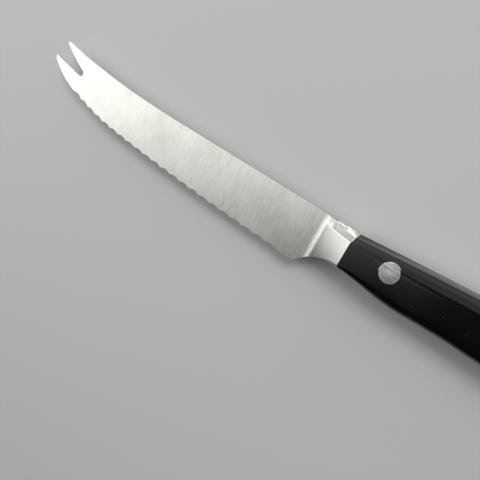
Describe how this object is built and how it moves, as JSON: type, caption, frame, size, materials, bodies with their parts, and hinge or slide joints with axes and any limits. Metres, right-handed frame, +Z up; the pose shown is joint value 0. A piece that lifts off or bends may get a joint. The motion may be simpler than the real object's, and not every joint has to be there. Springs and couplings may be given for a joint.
{
  "type": "tomato knife",
  "caption": "Forged kitchen knife with a scalloped tomato blade, a two-pronged fork tip, a bolster and a full tang between two riveted black scales",
  "frame": {"origin": "on the flat outer face of the right scale, on which the knife lies, halfway between the front and middle rivets", "axes": "+X from the fork tip towards the butt, +Y from the edge towards the spine, +Z up out of the left face of the blade"},
  "size_m": [0.2637, 0.0239, 0.013],
  "materials": {
    "blade_steel": "satin ground stainless steel, grind lines across the blade",
    "scale_plastic": "polished black moulded plastic with a soft gloss",
    "rivet_steel": "rivet heads ground flush with the scales and brushed"
  },
  "bodies": {
    "root": {"blade_forging": "blade_steel", "handle_scale_left": "scale_plastic", "handle_scale_right": "scale_plastic", "rivet_sleeve_front": "rivet_steel", "rivet_pin_front": "rivet_steel", "rivet_sleeve_middle": "rivet_steel", "rivet_pin_middle": "rivet_steel", "rivet_sleeve_rear": "rivet_steel", "rivet_pin_rear": "rivet_steel"}
  },
  "joints": []
}
